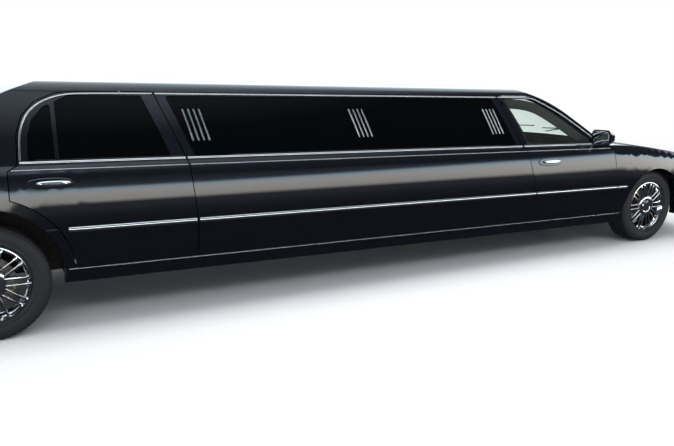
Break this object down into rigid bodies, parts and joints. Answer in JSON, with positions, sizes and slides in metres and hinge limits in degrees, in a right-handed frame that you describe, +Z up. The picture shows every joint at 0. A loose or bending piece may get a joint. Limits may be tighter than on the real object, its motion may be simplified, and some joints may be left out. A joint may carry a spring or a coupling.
{
  "type": "stretch limousine",
  "caption": "Long-wheelbase stretched sedan with hinged doors, hood and trunk lid, steered front wheels and a glazed passenger saloon.",
  "frame": {"origin": "bottom centre of the whole car's box, on the road under the middle of its length", "axes": "+X to the nose, +Y to the car's left side, +Z up"},
  "size_m": [8.267, 2.18, 1.5651],
  "materials": {
    "black_paint": "gloss",
    "clear_glass": "gloss",
    "dark_glass": "gloss",
    "chrome": "polished",
    "tyre_rubber": "matt",
    "clear_lens": "gloss",
    "red_lens": "gloss",
    "black_plastic": "satin",
    "seat_leather": "satin",
    "cabinet_wood": "gloss",
    "trim_cloth": "matt",
    "chassis_black": "satin",
    "cast_metal": "cast",
    "steel_pipe": "satin"
  },
  "bodies": {
    "root": {"floor_pan": "chassis_black", "chassis_frame": "chassis_black", "roof": "black_paint", "cowl_panel": "black_paint", "nose_panel": "black_paint", "front_fenders": "black_paint", "stretch_side_panels": "black_paint", "rocker_panels": "black_paint", "quarter_panels": "black_paint", "wheelhouses": "chassis_black", "windshield": "clear_glass", "rear_window": "clear_glass", "stretch_side_glass": "dark_glass", "front_bumper": "black_paint", "rear_bumper": "black_paint", "grille": "chrome", "headlamps": "clear_lens", "tail_lamps": "red_lens", "dashboard": "black_plastic", "steering_wheel": "black_plastic", "front_seats": "seat_leather", "rear_bench": "seat_leather", "side_bench": "seat_leather", "bar_cabinet": "cabinet_wood", "divider": "cabinet_wood", "rear_shelf": "trim_cloth", "engine_block": "cast_metal", "gearbox_and_shaft": "cast_metal", "exhaust": "steel_pipe", "rear_axle": "chassis_black", "front_suspension": "chassis_black"},
    "hood": {"hood": "black_paint"},
    "trunk_lid": {"trunk_lid": "black_paint"},
    "front_left_door": {"front_left_door": "black_paint", "front_left_door_glass": "clear_glass", "left_mirror": "black_plastic"},
    "front_right_door": {"front_right_door": "black_paint", "front_right_door_glass": "clear_glass", "right_mirror": "black_plastic"},
    "rear_left_door": {"rear_left_door": "black_paint", "rear_left_door_glass": "dark_glass"},
    "rear_right_door": {"rear_right_door": "black_paint", "rear_right_door_glass": "dark_glass"},
    "left_knuckle": {"left_knuckle": "chassis_black"},
    "right_knuckle": {"right_knuckle": "chassis_black"},
    "front_left_wheel": {"front_left_tyre": "tyre_rubber", "front_left_rim": "chrome"},
    "front_right_wheel": {"front_right_tyre": "tyre_rubber", "front_right_rim": "chrome"},
    "rear_left_wheel": {"rear_left_tyre": "tyre_rubber", "rear_left_rim": "chrome"},
    "rear_right_wheel": {"rear_right_tyre": "tyre_rubber", "rear_right_rim": "chrome"}
  },
  "joints": [
    {"name": "front_left_door_hinge", "type": "hinge", "parent": "root", "child": "front_left_door", "pos_m": [2.53504, 0.994, 0.66743], "axis": [-0.014, 0, -0.9999], "range_deg": [0, 65]},
    {"name": "front_right_door_hinge", "type": "hinge", "parent": "root", "child": "front_right_door", "pos_m": [2.53504, -0.994, 0.66743], "axis": [0.014, 0, 0.9999], "range_deg": [0, 65]},
    {"name": "rear_left_door_hinge", "type": "hinge", "parent": "root", "child": "rear_left_door", "pos_m": [-1.42957, 0.994, 0.72279], "axis": [-0.014, 0, -0.9999], "range_deg": [0, 62]},
    {"name": "rear_right_door_hinge", "type": "hinge", "parent": "root", "child": "rear_right_door", "pos_m": [-1.42957, -0.994, 0.72279], "axis": [0.014, 0, 0.9999], "range_deg": [0, 62]},
    {"name": "hood_hinge", "type": "hinge", "parent": "root", "child": "hood", "pos_m": [2.62566, 0, 0.99719], "axis": [0, -1, 0], "range_deg": [0, 50]},
    {"name": "trunk_lid_hinge", "type": "hinge", "parent": "root", "child": "trunk_lid", "pos_m": [-3.3127, 0, 1.08512], "axis": [0, 1, 0], "range_deg": [0, 75]},
    {"name": "left_steering", "type": "hinge", "parent": "root", "child": "left_knuckle", "pos_m": [3.0925, 0.775, 0.352], "axis": [0, 0, 1], "range_deg": [-32, 32]},
    {"name": "front_left_wheel_spin", "type": "hinge", "parent": "left_knuckle", "child": "front_left_wheel", "pos_m": [3.0925, 0.805, 0.352], "axis": [0, 1, 0], "continuous": true},
    {"name": "right_steering", "type": "hinge", "parent": "root", "child": "right_knuckle", "pos_m": [3.0925, -0.775, 0.352], "axis": [0, 0, 1], "range_deg": [-32, 32]},
    {"name": "front_right_wheel_spin", "type": "hinge", "parent": "right_knuckle", "child": "front_right_wheel", "pos_m": [3.0925, -0.805, 0.352], "axis": [0, 1, 0], "continuous": true},
    {"name": "rear_left_wheel_spin", "type": "hinge", "parent": "root", "child": "rear_left_wheel", "pos_m": [-2.6915, 0.8355, 0.352], "axis": [0, 1, 0], "continuous": true},
    {"name": "rear_right_wheel_spin", "type": "hinge", "parent": "root", "child": "rear_right_wheel", "pos_m": [-2.6915, -0.8355, 0.352], "axis": [0, 1, 0], "continuous": true}
  ],
  "couplings": [
    {"joint": "right_steering", "follows": "left_steering", "ratio": 1}
  ]
}
